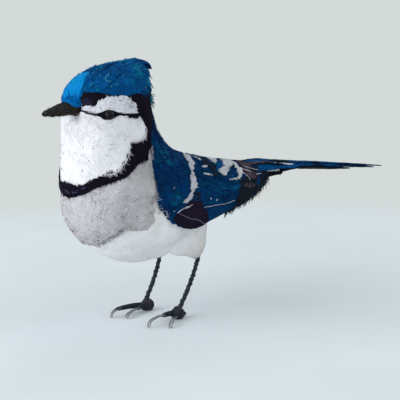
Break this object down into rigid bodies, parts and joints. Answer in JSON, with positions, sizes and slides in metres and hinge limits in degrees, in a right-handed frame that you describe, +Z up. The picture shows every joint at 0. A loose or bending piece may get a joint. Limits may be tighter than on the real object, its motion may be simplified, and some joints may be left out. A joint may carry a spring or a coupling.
{
  "type": "stuffed fabric bird ornament",
  "caption": "Free-standing stuffed fabric bird with sewn-on cloth plumage, crest, felt beak, bead eyes, layered strip tail and thread-bound wire legs with bare wire toes.",
  "frame": {"origin": "middle of the bounding box, on the floor that the feet stand on", "axes": "+Z up, -Y towards the beak, +X the bird's left side; the median plane is x = 0"},
  "size_m": [0.0732, 0.3, 0.1654],
  "materials": {
    "body_cloth": "felted off-white wool cloth, matt",
    "beak_felt": "dark grey-brown felt, matt and rough",
    "blue_cloth": "royal blue cloth with darker and teal scraps, frayed edges",
    "azure_cloth": "bright azure cloth, frayed edge",
    "white_cloth": "white cloth with frayed edge",
    "black_cloth": "black cloth with satin-stitched edge",
    "lilac_cloth": "pale grey-lilac cloth",
    "bead": "black bead, glossy",
    "stone_cloth": "grey-white slubbed cloth with dark stitches",
    "navy_cloth": "navy blue cloth, overlapping frayed scraps",
    "aubergine_cloth": "dark aubergine cloth with a pale thread",
    "bound_thread": "blue-black thread wound round wire",
    "bare_wire": "plain steel wire, slightly dull"
  },
  "bodies": {
    "root": {"stuffed_body": "body_cloth", "beak": "beak_felt", "crown_cap": "blue_cloth", "crest_tuft": "blue_cloth", "tail_strip_1": "blue_cloth", "forehead_patch": "azure_cloth", "face_patch": "white_cloth", "left_wing_bar": "white_cloth", "right_wing_bar": "white_cloth", "left_wing_white_patch": "white_cloth", "right_wing_white_patch": "white_cloth", "black_collar": "black_cloth", "left_lore_stripe": "black_cloth", "right_lore_stripe": "black_cloth", "left_eye_patch": "black_cloth", "right_eye_patch": "black_cloth", "left_brow_patch": "lilac_cloth", "right_brow_patch": "lilac_cloth", "left_eye": "bead", "right_eye": "bead", "breast_patch": "stone_cloth", "left_side_breast_patch": "stone_cloth", "right_side_breast_patch": "stone_cloth", "mantle_patch": "navy_cloth", "left_wing": "navy_cloth", "right_wing": "navy_cloth", "tail_strip_2": "navy_cloth", "tail_strip_3": "navy_cloth", "tail_strip_4": "navy_cloth", "tail_strip_5": "navy_cloth", "left_wing_dark_patch": "aubergine_cloth", "right_wing_dark_patch": "aubergine_cloth", "left_leg": "bound_thread", "right_leg": "bound_thread", "left_toe_wire_1": "bare_wire", "left_toe_wire_2": "bare_wire", "right_toe_wire_1": "bare_wire", "right_toe_wire_2": "bare_wire"}
  },
  "joints": []
}
